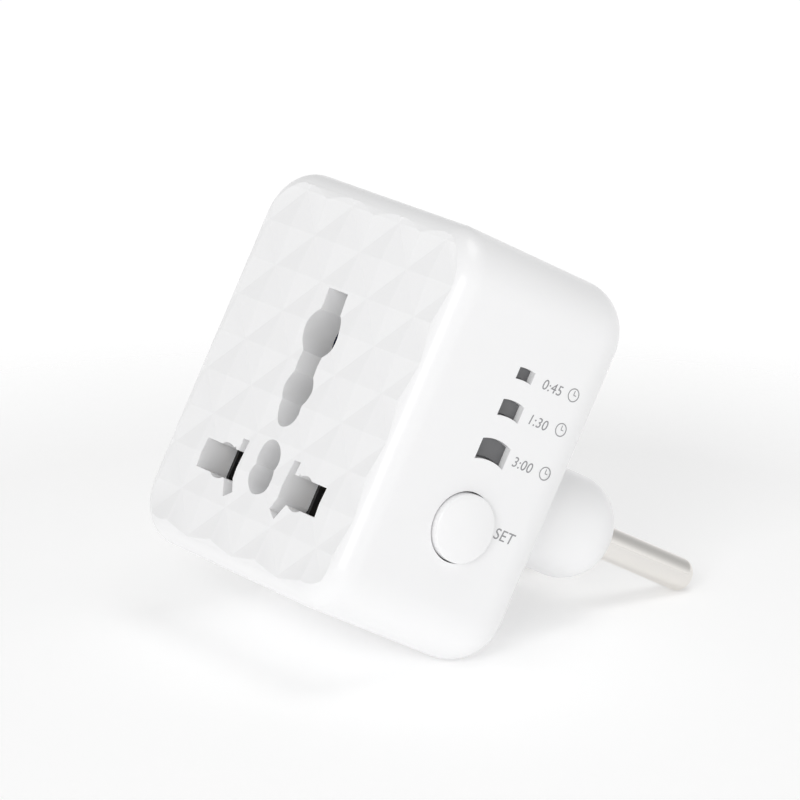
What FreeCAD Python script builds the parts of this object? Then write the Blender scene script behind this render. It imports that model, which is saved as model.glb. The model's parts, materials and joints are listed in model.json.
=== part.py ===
"""Plug-in timer switch: a small universal travel socket on a two-pin plug.

Frame: +Z up, +X to the right of the socket face, the socket face looks to -Y
and the plug pins leave to +Y. The origin is on the flat underside, midway
across the case and midway through its depth. All sizes are millimetres.
"""

import FreeCAD, Part

import math
import os
import re

import Sketcher

# Driving sizes, one table for each group of pieces

CASE = {
    "case_width": 48.5,
    "case_height": 54.5,
    "case_depth": 32.0,
    "case_corner": 7.5,
    "front_round": 3.5,
    "rear_round": 6.5,
    "wall": 2.0,
    "face_wall": 2.2,
    "cover_depth": 4.0,
    "lip_depth": 2.5,
    "lip_wall": 1.2,
    "fit_gap": 0.1,
}

PLUG = {
    "plug_height": 23.2,
    "pin_spacing": 19.0,
    "pin_radius": 2.4,
    "pin_length": 19.0,
    "pin_nose": 1.9,
    "pin_flat": 1.25,
    "pin_root_radius": 2.8,
    "pin_root_inside": 2.0,
    "pin_hole_gap": 0.05,
    "shank_radius": 1.9,
    "boss_radius": 7.35,
    "boss_centres": 21.0,
    "boss_length": 17.4,
    "boss_end_wall": 4.0,
    "boss_round": 5.6,
    "carrier_flange_depth": 1.5,
    "carrier_flange_lip": 2.5,
    "strip_thick": 0.6,
    "strip_width": 5.0,
    "strip_overlap": 3.0,
    "feed_rise": 4.4,
    "feed_reach": 1.0,
    "tail_reach": 0.6,
    "pin_screw_radius": 1.2,
    "pin_screw_depth": 5.0,
    "pin_screw_head": 2.2,
    "pin_screw_head_depth": 1.3,
}

SOCKET = {
    "socket_height": 13.25,
    "sleeve_depth": 5.6,
    "sleeve_wall": 1.2,
    "block_inner": 5.5,
    "block_outer": 14.4,
    "block_height": 4.2,
    "round_radius": 2.55,
    "round_spacing": 19.0,
    "flat_width": 1.5,
    "flat_top": 3.85,
    "flat_bottom": 1.5,
    "slant_width": 2.1,
    "slant_length": 6.8,
    "slant_angle": 30.0,
    "slant_centre": 7.1,
    "slant_drop": 1.0,
    "centre_radius": 2.5,
    "centre_rise": 2.8,
    "earth_top": 27.0,
    "earth_blade_width": 4.6,
    "earth_round_height": 20.9,
    "earth_round_radius": 3.8,
    "earth_lobe_height": 12.9,
    "earth_lobe_radius": 3.05,
    "earth_foot_height": 9.5,
    "earth_foot_radius": 2.2,
    "pin_reach": 18.0,
    "leaf_thick": 0.5,
    "leaf_gap": 2.35,
    "leaf_flare": 0.5,
    "contact_width": 7.6,
    "mouth_depth": 2.0,
    "holder_wall": 1.2,
    "holder_end": 0.6,
    "centre_room": 0.4,
}

SIDE = {
    "button_height": 17.5,
    "button_radius": 4.75,
    "button_gap": 0.2,
    "button_proud": 1.0,
    "button_crown": 0.6,
    "button_flat": 2.2,
    "button_flange_radius": 5.7,
    "button_flange_depth": 1.2,
    "button_travel": 0.5,
    "button_stop_gap": 0.1,
    "window_pitch_top": 39.3,
    "window_pitch_mid": 34.3,
    "window_pitch_low": 28.3,
    "window_width_top": 2.8,
    "window_width_mid": 3.8,
    "window_width_low": 5.1,
    "window_height_top": 1.65,
    "window_height_mid": 2.3,
    "window_height_low": 2.95,
    "window_bow": 7.0,
    "window_recess": 1.1,
    "lens_thick": 1.05,
    "lens_margin": 2.4,
    "lens_gap": 0.05,
    "shroud_wall": 1.1,
    "tunnel_rise": 1.7,
    "side_board_inset": 6.25,
    "side_board_thick": 1.0,
    "side_board_length": 15.0,
    "side_board_shift": 1.0,
    "side_board_bottom": 12.0,
    "side_board_top": 42.5,
    "led_length": 2.0,
    "led_width": 1.25,
    "led_depth": 0.8,
    "switch_side": 6.0,
    "switch_depth": 2.2,
    "plunger_radius": 1.6,
    "plunger_well": 1.8,
    "plunger_length": 1.85,
}

BOARD = {
    "board_thick": 1.6,
    "board_gap": 1.0,
    "board_side_gap": 2.75,
    "board_end_gap": 1.2,
    "post_inset": 4.0,
    "post_radius": 2.4,
    "tube_wall": 0.6,
    "screw_radius": 1.25,
    "screw_length": 12.0,
    "screw_head_radius": 2.1,
    "screw_head_depth": 1.5,
    "screw_seat": 1.0,
    "screw_clear": 0.2,
    "feed_gap": 0.3,
    "relay_gap": 1.65,
    "relay_inner": 5.4,
    "relay_roof": 5.0,
    "relay_depth": 15.4,
    "film_gap": 3.8,
    "film_width": 7.0,
    "film_depth": 12.0,
    "can_radius": 3.9,
    "can_length": 11.0,
    "can_x": 9.9,
    "can_roof": 6.1,
    "can_gap": 1.5,
    "row_drop": 1.6,
    "bridge_side": 4.7,
    "bridge_depth": 2.4,
    "chip_width": 8.6,
    "chip_height": 3.9,
    "chip_depth": 1.5,
    "chip_gap": 1.7,
    "varistor_gap": 2.25,
    "varistor_radius": 4.4,
    "varistor_depth": 3.6,
    "fuse_radius": 1.6,
    "fuse_length": 8.0,
    "header_side": 2.5,
    "header_length": 12.7,
    "header_inset": 0.8,
}

doc = FreeCAD.newDocument("TimerSwitch")
sheet = doc.addObject("Spreadsheet::Sheet", "Sizes")

VALUES = {}
for table in (CASE, PLUG, SOCKET, SIDE, BOARD):
    VALUES.update(table)

for row, (alias, value) in enumerate(VALUES.items(), start=1):
    sheet.set(f"A{row}", alias)
    sheet.set(f"B{row}", str(value))
    sheet.setAlias(f"B{row}", alias)
doc.recompute()

# Places worked out from the driving sizes

FRONT = "(-case_depth/2)"
REAR = "(case_depth/2)"
SIDE_FACE = "(case_width/2)"
INNER_SIDE = f"({SIDE_FACE} - wall)"
COVER_BACK = f"({FRONT} + cover_depth)"
COVER_INSIDE = f"({FRONT} + face_wall)"
REAR_INSIDE = f"({REAR} - wall)"
SLEEVE_END = f"({FRONT} + sleeve_depth)"
BOSS_END = f"({REAR} + boss_length)"
PIN_SEAT = f"({BOSS_END} - boss_end_wall)"
CARRIER_FRONT = f"({REAR_INSIDE} - carrier_flange_depth)"
CARRIER_BACK = f"({PIN_SEAT} - pin_root_inside)"
CONTACT_BACK = f"({FRONT} + pin_reach)"
CONTACT_MIDDLE = "((block_inner + block_outer)/2)"
STRIP_Y = (f"({CARRIER_FRONT} - strip_thick)", CARRIER_FRONT)
TAIL_Z = ("(socket_height - strip_thick/2)", "(socket_height + strip_thick/2)")
FEED_Z = ("(plug_height + feed_rise)", "(plug_height + feed_rise + strip_thick)")
BOARD_BACK = f"({STRIP_Y[0]} - pin_screw_head_depth - board_gap)"
BOARD_FRONT = f"({BOARD_BACK} - board_thick)"
PART_ROW = "(plug_height - row_drop)"
CAN_Z = "(case_height - wall - can_roof)"
SCREW_Z = {"Low": "(wall + post_inset)", "High": "(case_height - wall - post_inset)"}
SIDE_BOARD_OUT = f"({SIDE_FACE} - side_board_inset)"
SIDE_BOARD_IN = f"({SIDE_BOARD_OUT} - side_board_thick)"
SWITCH_TOP = f"({SIDE_BOARD_OUT} + switch_depth)"
FLANGE_OUT = f"({INNER_SIDE} - button_stop_gap)"
FLANGE_IN = f"({FLANGE_OUT} - button_flange_depth)"
WINDOWS = ("top", "mid", "low")
PINS = (("Line", "-"), ("Neutral", ""))

# Legs of the bevels that touch a quarter arc of radius 1 at 22.5, 45 and 67.5 degrees
MIDDLE_BEVEL = 2 - math.sqrt(2)
SIDE_BEVEL = math.tan(math.radians(22.5)) - math.tan(math.radians(11.25))


def bound(text):
    """Turn a formula of plain size names into one that reads the sheet."""
    return re.sub(r"[a-z][a-z_]*", lambda word: sheet_name(word.group(0)), text)


def sheet_name(word):
    return f"Sizes.{word}" if word in VALUES else word


def worth(text):
    """The number that a formula of size names has now."""
    names = {name: sheet.get(name) for name in VALUES}
    terms = re.sub(r"[a-z][a-z_]*", lambda word: repr(float(names[word.group(0)])), text)
    return FreeCAD.Units.Quantity(terms).Value


# Building blocks

def bind(thing, **formulas):
    for key, text in formulas.items():
        thing.setExpression(key.replace("__", "."), bound(text))
    return thing


def length(span):
    return f"({span[1]}) - ({span[0]})"


def around(middle, size):
    return (f"({middle} - {size}/2)", f"({middle} + {size}/2)")


def box(name, x, y, z):
    """A block between two formulas on each axis."""
    block = doc.addObject("Part::Box", name)
    bind(block, Length=length(x), Width=length(y), Height=length(z))
    return bind(block, Placement__Base__x=x[0], Placement__Base__y=y[0], Placement__Base__z=z[0])


def rod_y(name, x, z, y, radius):
    """A cylinder along Y from y[0] to y[1]."""
    rod = doc.addObject("Part::Cylinder", name)
    rod.Placement.Rotation = FreeCAD.Rotation(FreeCAD.Vector(1, 0, 0), -90)
    bind(rod, Radius=radius, Height=length(y))
    return bind(rod, Placement__Base__x=x, Placement__Base__y=y[0], Placement__Base__z=z)


def rod_x(name, y, z, x, radius):
    """A cylinder along X from x[0] to x[1]."""
    rod = doc.addObject("Part::Cylinder", name)
    rod.Placement.Rotation = FreeCAD.Rotation(FreeCAD.Vector(0, 1, 0), 90)
    bind(rod, Radius=radius, Height=length(x))
    return bind(rod, Placement__Base__x=x[0], Placement__Base__y=y, Placement__Base__z=z)


def fuse(name, pieces):
    if len(pieces) == 1:
        return pieces[0]
    joined = doc.addObject("Part::MultiFuse", name)
    joined.Shapes = pieces
    return joined


def cut(name, base, tools):
    result = doc.addObject("Part::Cut", name)
    result.Base = base
    result.Tool = fuse(name + "Tools", tools)
    return result


def origin_feature(body, role):
    return next(item for item in body.Origin.OriginFeatures if item.Role == role)


def profile(body, plane, points, arcs=()):
    """A closed sketch whose corners are held at pairs of formulas.

    arcs maps the number of a side to the formula of its radius and to the side
    of its chord, +1 or -1, on which it bulges; every other side is straight.
    """
    arcs = dict(arcs)
    sketch = body.newObject("Sketcher::SketchObject", body.Name + "Sketch")
    sketch.AttachmentSupport = [(origin_feature(body, plane), "")]
    sketch.MapMode = "FlatFace"
    spots = [FreeCAD.Vector(worth(u), worth(v), 0) for u, v in points]
    count = len(spots)
    for side in range(count):
        first = spots[side]
        last = spots[(side + 1) % count]
        if side in arcs:
            radius, way = arcs[side]
            chord = last - first
            rise = worth(radius) - math.sqrt(worth(radius) ** 2 - (chord.Length / 2) ** 2)
            across = FreeCAD.Vector(-chord.y, chord.x, 0).normalize()
            sketch.addGeometry(Part.Arc(first, first + chord * 0.5 + across * (way * rise), last), False)
        else:
            sketch.addGeometry(Part.LineSegment(first, last), False)
    for side in range(count):
        ends = [end_at(sketch, side, spots[side]), end_at(sketch, side, spots[(side + 1) % count])]
        after = (side + 1) % count
        sketch.addConstraint(Sketcher.Constraint(
            "Coincident", side, ends[1], after, end_at(sketch, after, spots[after])))
        for kind, part, axis in (("DistanceX", 0, "x"), ("DistanceY", 1, "y")):
            number = sketch.addConstraint(Sketcher.Constraint(
                kind, -1, 1, side, ends[0], getattr(spots[side], axis)))
            sketch.setExpression(f"Constraints[{number}]", bound(points[side][part]))
        if side in arcs:
            number = sketch.addConstraint(Sketcher.Constraint("Radius", side, worth(arcs[side][0])))
            sketch.setExpression(f"Constraints[{number}]", bound(arcs[side][0]))
    return sketch


def end_at(sketch, side, spot):
    """1 if this side starts at the spot, 2 if it ends there."""
    starts = sketch.getPoint(side, 1).distanceToPoint(spot) < 1e-6
    return 1 if starts else 2


def pad(name, plane, start, depth, points, arcs=()):
    """A padded profile. start is where it begins along the plane's own normal."""
    body = doc.addObject("PartDesign::Body", name)
    sketch = profile(body, plane, points, arcs)
    bind(sketch, AttachmentOffset__Base__z=start)
    feature = body.newObject("PartDesign::Pad", name + "Pad")
    feature.Profile = sketch
    bind(feature, Length=depth)
    doc.recompute()
    return body


def revolve(name, axis, points, place):
    """A profile on the XY plane turned about one of the body's own axes."""
    body = doc.addObject("PartDesign::Body", name)
    sketch = profile(body, "XY_Plane", points)
    feature = body.newObject("PartDesign::Revolution", name + "Turn")
    feature.Profile = sketch
    feature.ReferenceAxis = (origin_feature(body, axis), [""])
    feature.Angle = 360
    bind(body, Placement__Base__x=place[0], Placement__Base__y=place[1], Placement__Base__z=place[2])
    doc.recompute()
    return body


def dress_edges(kind, body, name, wanted, **size):
    """Fillet or chamfer every edge of the body's tip that the test picks."""
    tip = body.Tip
    names = [f"Edge{number}" for number, edge in enumerate(tip.Shape.Edges, start=1) if wanted(edge)]
    feature = body.newObject(kind, name)
    feature.Base = (tip, names)
    bind(feature, **size)
    doc.recompute()


def round_edges(body, name, radius, wanted):
    dress_edges("PartDesign::Fillet", body, name, wanted, Radius=radius)


def chamfer_edges(body, name, leg, wanted):
    dress_edges("PartDesign::Chamfer", body, name, wanted, Size=leg)


def ease_rim(body, name, radius, end, inward):
    """Ease the rim at one end of a block with three bevels that touch the arc of the radius.

    inward is the sign of Y from this end into the block.
    """
    leg = f"{MIDDLE_BEVEL:.6f}*{radius}"
    chamfer_edges(body, name + "Middle", leg, flat_at(worth(end)))
    rims = [flat_at(worth(end)), flat_at(worth(f"({end} {inward} {leg})"))]
    chamfer_edges(body, name + "Sides", f"{SIDE_BEVEL:.6f}*{radius}", lambda edge: any(rim(edge) for rim in rims))


def along_y(edge):
    ends = [vertex.Point for vertex in edge.Vertexes]
    return len(ends) == 2 and abs(ends[0].x - ends[1].x) + abs(ends[0].z - ends[1].z) < 1e-6


def flat_at(y):
    """A test for edges that lie in the plane at this depth."""
    return lambda edge: edge.BoundBox.YLength < 1e-6 and abs(edge.BoundBox.YMin - y) < 1e-6


def case_block(name, inset, y, corner):
    """A block of the case's outline, set in all round, with rounded corners."""
    half = f"({SIDE_FACE} - {inset})"
    low, high = inset, f"(case_height - {inset})"
    points = [(f"-{half}", low), (half, low), (half, high), (f"-{half}", high)]
    body = pad(name, "XZ_Plane", f"-({y[1]})", length(y), points)
    round_edges(body, name + "Corners", corner, along_y)
    return body


def stadium(name, radius, y):
    """A slot-shaped block round the two plug pins."""
    body = doc.addObject("PartDesign::Body", name)
    sketch = slot_sketch(body, radius)
    bind(sketch, AttachmentOffset__Base__z=f"-({y[0]})")
    feature = body.newObject("PartDesign::Pad", name + "Pad")
    feature.Profile = sketch
    feature.Reversed = True
    bind(feature, Length=length(y))
    doc.recompute()
    return body


def slot_sketch(body, radius):
    """Two straight sides joined by half circles, drawn on the XZ plane."""
    half = "(boss_centres/2)"
    low, high = f"(plug_height - {radius})", f"(plug_height + {radius})"
    points = [(f"-{half}", low), (half, low), (half, high), (f"-{half}", high)]
    sketch = body.newObject("Sketcher::SketchObject", body.Name + "Sketch")
    sketch.AttachmentSupport = [(origin_feature(body, "XZ_Plane"), "")]
    sketch.MapMode = "FlatFace"
    spots = [FreeCAD.Vector(worth(u), worth(v), 0) for u, v in points]
    reach = FreeCAD.Vector(worth(radius), 0, 0)
    middle = FreeCAD.Vector(0, worth("plug_height"), 0)
    right = FreeCAD.Vector(spots[1].x, middle.y, 0) + reach
    left = FreeCAD.Vector(spots[0].x, middle.y, 0) - reach
    shapes = [Part.LineSegment(spots[0], spots[1]), Part.Arc(spots[1], right, spots[2]),
              Part.LineSegment(spots[2], spots[3]), Part.Arc(spots[3], left, spots[0])]
    for shape in shapes:
        sketch.addGeometry(shape, False)
    for side in range(4):
        after = (side + 1) % 4
        spot = spots[after]
        meeting = "Tangent" if side in (0, 2) else "Coincident"
        sketch.addConstraint(Sketcher.Constraint(
            meeting, side, end_at(sketch, side, spot), after, end_at(sketch, after, spot)))
        own = end_at(sketch, side, spots[side])
        for kind, part, axis in (("DistanceX", 0, "x"), ("DistanceY", 1, "y")):
            number = sketch.addConstraint(Sketcher.Constraint(
                kind, -1, 1, side, own, getattr(spots[side], axis)))
            sketch.setExpression(f"Constraints[{number}]", bound(points[side][part]))
    return sketch


# The universal socket's openings and the square sleeves behind them

def power_slot(name, sign, y):
    """One power opening: square block, round pin, flat blade and slanted blade."""
    def span(near, far):
        return (near, far) if sign > 0 else (f"-({far})", f"-({near})")

    block = box(name + "Block", span("block_inner", "block_outer"), y, around("socket_height", "block_height"))
    pin = rod_y(name + "Round", f"{sign}*round_spacing/2", "socket_height", y, "round_radius")
    flat = box(name + "Flat", span("block_inner", "(block_inner + flat_width)"), y,
               ("(socket_height - flat_bottom)", "(socket_height + flat_top)"))
    slant = doc.addObject("Part::Box", name + "Slant")
    half_wide = "(slant_width/2)"
    half_long = "(slant_length/2)"
    bind(slant, Length="slant_width", Width=length(y), Height="slant_length")
    slant.Placement.Rotation = FreeCAD.Rotation(FreeCAD.Vector(0, 1, 0), worth("slant_angle"))
    lean = f"{sign}*sin(slant_angle*1deg)"
    upright = "cos(slant_angle*1deg)"
    bind(slant,
         Placement__Rotation__Angle=f"{sign}*slant_angle*1deg",
         Placement__Base__x=f"{sign}*slant_centre - {half_wide}*{upright} - {half_long}*{lean}",
         Placement__Base__y=y[0],
         Placement__Base__z=f"socket_height - slant_drop + {half_wide}*{lean} - {half_long}*{upright}")
    return [block, pin, flat, slant]


def centre_slot(name, y):
    heights = ("socket_height", "socket_height + centre_rise")
    return [rod_y(f"{name}{number}", "0", height, y, "centre_radius") for number, height in enumerate(heights)]


def earth_slot(name, y):
    """Square-topped earth opening with a round lobe, a neck and a small lobe."""
    blade = box(name + "Blade", around("0", "earth_blade_width"), y,
                ("(socket_height + earth_foot_height)", "(socket_height + earth_top)"))
    lobes = [rod_y(name + lobe.title(), "0", f"socket_height + earth_{lobe}_height", y,
                   f"earth_{lobe}_radius") for lobe in ("round", "lobe", "foot")]
    return [blade] + lobes


def all_slots(name, y):
    return (power_slot(name + "Line", -1, y) + power_slot(name + "Neutral", 1, y)
            + centre_slot(name + "Centre", y) + earth_slot(name + "Earth", y))


def square_sleeves(y):
    """A plain square sleeve round each opening, with its wall outside the opening's reach."""
    slant_foot = ("(slant_drop + slant_length/2*cos(slant_angle*1deg)"
                  " + slant_width/2*sin(slant_angle*1deg))")
    power_z = (f"(socket_height - {slant_foot} - sleeve_wall)", "(socket_height + flat_top + sleeve_wall)")
    near, far = "(block_inner - sleeve_wall)", "(block_outer + sleeve_wall)"
    centre = "(centre_radius + sleeve_wall)"
    earth = "(earth_round_radius + sleeve_wall)"
    return [
        box("SleeveLine", (f"-{far}", f"-{near}"), y, power_z),
        box("SleeveNeutral", (near, far), y, power_z),
        box("SleeveCentre", (f"-{centre}", centre), y,
            (f"(socket_height - {centre})", f"(socket_height + centre_rise + {centre})")),
        box("SleeveEarth", (f"-{earth}", earth), y,
            ("(socket_height + earth_foot_height - earth_foot_radius - sleeve_wall)",
             "(socket_height + earth_top + sleeve_wall)")),
    ]


# Side windows

def window(name, which, x, shrink="0"):
    """A small window with parallel bowed top and bottom edges."""
    half = f"(window_width_{which}/2 - {shrink})"
    low = f"(window_pitch_{which} - window_height_{which}/2 + {shrink})"
    high = f"(window_pitch_{which} + window_height_{which}/2 - {shrink})"
    points = [(f"-{half}", low), (half, low), (half, high), (f"-{half}", high)]
    arcs = {0: ("window_bow", 1), 2: ("window_bow", -1)}
    return pad(name, "YZ_Plane", x[0], length(x), points, arcs)


def name_node(thing, label):
    thing.Label = label
    NODES.append(thing)
    return thing


NODES = []


def make_main_housing():
    outer = case_block("HousingOuter", "0", (COVER_BACK, REAR), "case_corner")
    ease_rim(outer, "HousingRear", "rear_round", REAR, "-")
    inner = case_block("HousingInner", "wall", (f"{COVER_BACK} - 1", REAR_INSIDE), "case_corner - wall")
    chamfer_edges(inner, "HousingInnerRear", f"{MIDDLE_BEVEL:.6f}*(rear_round - wall)",
                  flat_at(worth(REAR_INSIDE)))
    boss = stadium("Boss", "boss_radius", (f"{REAR} - 1", BOSS_END))
    ease_rim(boss, "BossRim", "boss_round", BOSS_END, "-")
    shell = cut("HousingShell", fuse("HousingBlock", [outer, boss]),
                [inner, stadium("BossHollow", "(boss_radius - wall)", (f"{REAR_INSIDE} - 1", PIN_SEAT))])
    adds = [shell]
    cuts = []
    for spot, height in SCREW_Z.items():
        adds.append(rod_y(f"ScrewTube{spot}", "0", height, (BOARD_BACK, f"{REAR_INSIDE} + 0.5"),
                          "post_radius + tube_wall"))
        cuts.append(rod_y(f"ScrewWay{spot}", "0", height, (f"{BOARD_BACK} - 1", f"{REAR} + 1"),
                          "screw_radius + screw_clear"))
        cuts.append(rod_y(f"ScrewSink{spot}", "0", height, (f"{REAR_INSIDE} - screw_seat", f"{REAR} + 1"),
                          "screw_head_radius + screw_clear"))
    for side, sign in PINS:
        cuts.append(rod_y(f"PinWay{side}", f"{sign}pin_spacing/2", "plug_height",
                          (f"{PIN_SEAT} - 1", f"{BOSS_END} + 1"), "pin_root_radius + pin_hole_gap"))
    cuts.append(rod_x("ButtonWay", "0", "button_height", (f"{INNER_SIDE} - 1", f"{SIDE_FACE} + 1"),
                      "button_radius + button_gap"))
    for which in WINDOWS:
        cuts.append(window(f"WindowWay{which}", which, (f"({INNER_SIDE} - 1)", f"({SIDE_FACE} + 1)")))
    name_node(cut("Housing", fuse("HousingWhole", adds), cuts), "main_housing")


def make_front_cover():
    face = case_block("CoverOuter", "0", (FRONT, COVER_BACK), "case_corner")
    ease_rim(face, "CoverFront", "front_round", FRONT, "+")
    lip_inset = "(wall + fit_gap)"
    lip = case_block("CoverLip", lip_inset, (f"({COVER_BACK} - 0.5)", f"({COVER_BACK} + lip_depth)"),
                     f"case_corner - {lip_inset}")
    hollow_inset = "(wall + fit_gap + lip_wall)"
    hollow = case_block("CoverHollow", hollow_inset, (COVER_INSIDE, f"({COVER_BACK} + lip_depth + 1)"),
                        f"case_corner - {hollow_inset}")
    dish = cut("CoverDish", fuse("CoverBlock", [face, lip]), [hollow])
    sleeves = square_sleeves((f"({COVER_INSIDE} - 0.5)", SLEEVE_END))
    posts = [rod_y(f"Post{spot}", "0", height, (f"({COVER_INSIDE} - 0.5)", BOARD_FRONT), "post_radius")
             for spot, height in SCREW_Z.items()]
    holes = all_slots("Slot", (f"({FRONT} - 1)", f"({SLEEVE_END} + 1)"))
    bores = [rod_y(f"PostBore{spot}", "0", height, (f"({BOARD_FRONT} - screw_length)", f"{BOARD_FRONT} + 1"),
                   "screw_radius") for spot, height in SCREW_Z.items()]
    name_node(cut("Cover", fuse("CoverWhole", [dish] + sleeves + posts), holes + bores), "front_cover")


def make_case_screws():
    screws = []
    seat = f"({REAR_INSIDE} - screw_seat)"
    for spot, height in SCREW_Z.items():
        head = rod_y(f"ScrewHead{spot}", "0", height, (seat, f"{seat} + screw_head_depth"), "screw_head_radius")
        stem = rod_y(f"ScrewStem{spot}", "0", height, (f"({seat} - screw_length)", f"{seat} + 0.2"),
                     "screw_radius - 0.01")
        screws.append(fuse(f"Screw{spot}", [head, stem]))
    group = doc.addObject("Part::Compound", "CaseScrews")
    group.Links = screws
    name_node(group, "case_screws")


def make_plug_pins():
    """Turned pins, each with a thicker root in the boss wall and a shank through the carrier."""
    root = "(pin_root_inside + boss_end_wall)"
    tip = f"({root} + pin_length)"
    shank_start = f"({CARRIER_FRONT} - {CARRIER_BACK})"
    for side, sign in PINS:
        points = [
            ("pin_screw_radius", shank_start),
            ("shank_radius", shank_start),
            ("shank_radius", "0"),
            ("pin_root_radius", "0"),
            ("pin_root_radius", root),
            ("pin_radius", root),
            ("pin_radius", f"({tip} - pin_nose)"),
            ("pin_flat", tip),
            ("0", tip),
            ("0", f"({shank_start} + pin_screw_depth)"),
            ("pin_screw_radius", f"({shank_start} + pin_screw_depth)"),
        ]
        pin = revolve(f"Pin{side}", "Y_Axis", points, (f"{sign}pin_spacing/2", CARRIER_BACK, "plug_height"))
        name_node(pin, f"{side.lower()}_pin")


def make_pin_carrier():
    """Insulating plug that fills the boss and backs both pins' roots."""
    plug = stadium("CarrierPlug", "(boss_radius - wall - fit_gap)", (CARRIER_FRONT, CARRIER_BACK))
    flange = stadium("CarrierFlange", "(boss_radius - wall + carrier_flange_lip)", (CARRIER_FRONT, REAR_INSIDE))
    seats = [rod_y(f"ShankWay{side}", f"{sign}pin_spacing/2", "plug_height",
                   (f"{CARRIER_FRONT} - 1", f"{CARRIER_BACK} + 1"), "shank_radius + 0.01")
             for side, sign in PINS]
    name_node(cut("Carrier", fuse("CarrierWhole", [plug, flange]), seats), "pin_carrier")


def strip(name, sign, y, z):
    """A flat strip in line with one of the plug pins."""
    centre = f"{sign}pin_spacing/2"
    return box(name, (f"({centre} - strip_width/2)", f"({centre} + strip_width/2)"), y, z)


def make_strips():
    """Flat brass strips from the pins to the board and to the contacts."""
    screw_way = {side: rod_y(f"StripHole{side}", f"{sign}pin_spacing/2", "plug_height",
                             (f"({STRIP_Y[0]} - 1)", f"({STRIP_Y[1]} + 1)"), "pin_screw_radius + fit_gap")
                 for side, sign in PINS}
    upright = strip("NeutralUpright", "", STRIP_Y, (TAIL_Z[0], "(plug_height + strip_overlap)"))
    run = strip("NeutralRun", "", (CONTACT_BACK, STRIP_Y[1]), TAIL_Z)
    name_node(cut("NeutralStrip", fuse("NeutralStripWhole", [upright, run]), [screw_way["Neutral"]]),
              "neutral_strip")
    upright = strip("LineUpright", "-", STRIP_Y, ("(plug_height - strip_overlap)", FEED_Z[1]))
    run = strip("LineRun", "-", (f"({BOARD_FRONT} - feed_reach)", STRIP_Y[1]), FEED_Z)
    name_node(cut("LineStrip", fuse("LineStripWhole", [upright, run]), [screw_way["Line"]]), "line_strip")
    name_node(strip("SwitchedStrip", "-", (CONTACT_BACK, f"({BOARD_BACK} + tail_reach)"), TAIL_Z),
              "switched_line_strip")


def make_pin_screws():
    screws = []
    for side, sign in PINS:
        head = rod_y(f"TerminalHead{side}", f"{sign}pin_spacing/2", "plug_height",
                     (f"({STRIP_Y[0]} - pin_screw_head_depth)", STRIP_Y[0]), "pin_screw_head")
        stem = rod_y(f"TerminalStem{side}", f"{sign}pin_spacing/2", "plug_height",
                     (f"({STRIP_Y[0]} - 0.2)", f"({STRIP_Y[0]} + pin_screw_depth)"), "pin_screw_radius - 0.01")
        screws.append(fuse(f"Terminal{side}", [head, stem]))
    group = doc.addObject("Part::Compound", "PinScrews")
    group.Links = screws
    name_node(group, "pin_screws")


def make_contacts():
    """Sprung U of brass strip that grips a blade or a round pin from above and below."""
    mouth = f"({SLEEVE_END} + fit_gap)"
    throat = f"({mouth} + mouth_depth)"
    back = CONTACT_BACK
    gap, flare, thick = "leaf_gap", "leaf_flare", "leaf_thick"

    def at(depth, rise):
        return (depth, f"(socket_height + {rise})")

    points = [
        at(mouth, f"({gap} + {flare})"),
        at(throat, gap),
        at(f"({back} - {thick})", gap),
        at(f"({back} - {thick})", f"(-{gap})"),
        at(throat, f"(-{gap})"),
        at(mouth, f"(-{gap} - {flare})"),
        at(mouth, f"(-{gap} - {flare} - {thick})"),
        at(throat, f"(-{gap} - {thick})"),
        at(back, f"(-{gap} - {thick})"),
        at(back, f"({gap} + {thick})"),
        at(throat, f"({gap} + {thick})"),
        at(mouth, f"({gap} + {flare} + {thick})"),
    ]
    for side, start in (("line", f"-({CONTACT_MIDDLE} + contact_width/2)"),
                        ("neutral", f"({CONTACT_MIDDLE} - contact_width/2)")):
        name_node(pad(f"Contact{side.title()}", "YZ_Plane", start, "contact_width", points), f"{side}_contact")


def strip_slot(name, sign, y, z):
    """The slot that a strip passes through, with its clearance."""
    centre = f"{sign}pin_spacing/2"
    return box(name, (f"({centre} - strip_width/2 - fit_gap)", f"({centre} + strip_width/2 + fit_gap)"), y,
               (f"({z[0]} - fit_gap)", f"({z[1]} + fit_gap)"))


def make_contact_holder():
    """Moulded tray behind the power slots, with a pocket for each contact."""
    inner_z = "(leaf_gap + leaf_flare + leaf_thick + fit_gap)"
    outer_z = f"({inner_z} + holder_wall)"
    near = f"({CONTACT_MIDDLE} - contact_width/2 - fit_gap)"
    far = f"({CONTACT_MIDDLE} + contact_width/2 + fit_gap)"
    back = f"({CONTACT_BACK} + holder_wall)"
    tray = box("HolderBlock", (f"-({far} + holder_end)", f"({far} + holder_end)"), (SLEEVE_END, back),
               (f"(socket_height - {outer_z})", f"(socket_height + {outer_z})"))
    cuts = []
    for (side, sign), span in zip(PINS, ((f"-{far}", f"-{near}"), (near, far))):
        cuts.append(box(f"HolderPocket{side}", span, (f"({SLEEVE_END} - 1)", CONTACT_BACK),
                        (f"(socket_height - {inner_z})", f"(socket_height + {inner_z})")))
        cuts.append(strip_slot(f"HolderTail{side}", sign, (f"({CONTACT_BACK} - 1)", f"({back} + 1)"), TAIL_Z))
    cuts.append(box("HolderCentre", ("-(centre_radius + centre_room)", "(centre_radius + centre_room)"),
                    (f"({SLEEVE_END} - 1)", CONTACT_BACK),
                    ("(socket_height - centre_radius - centre_room)", f"(socket_height + {outer_z} + 1)")))
    name_node(cut("Holder", tray, cuts), "contact_holder")


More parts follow.
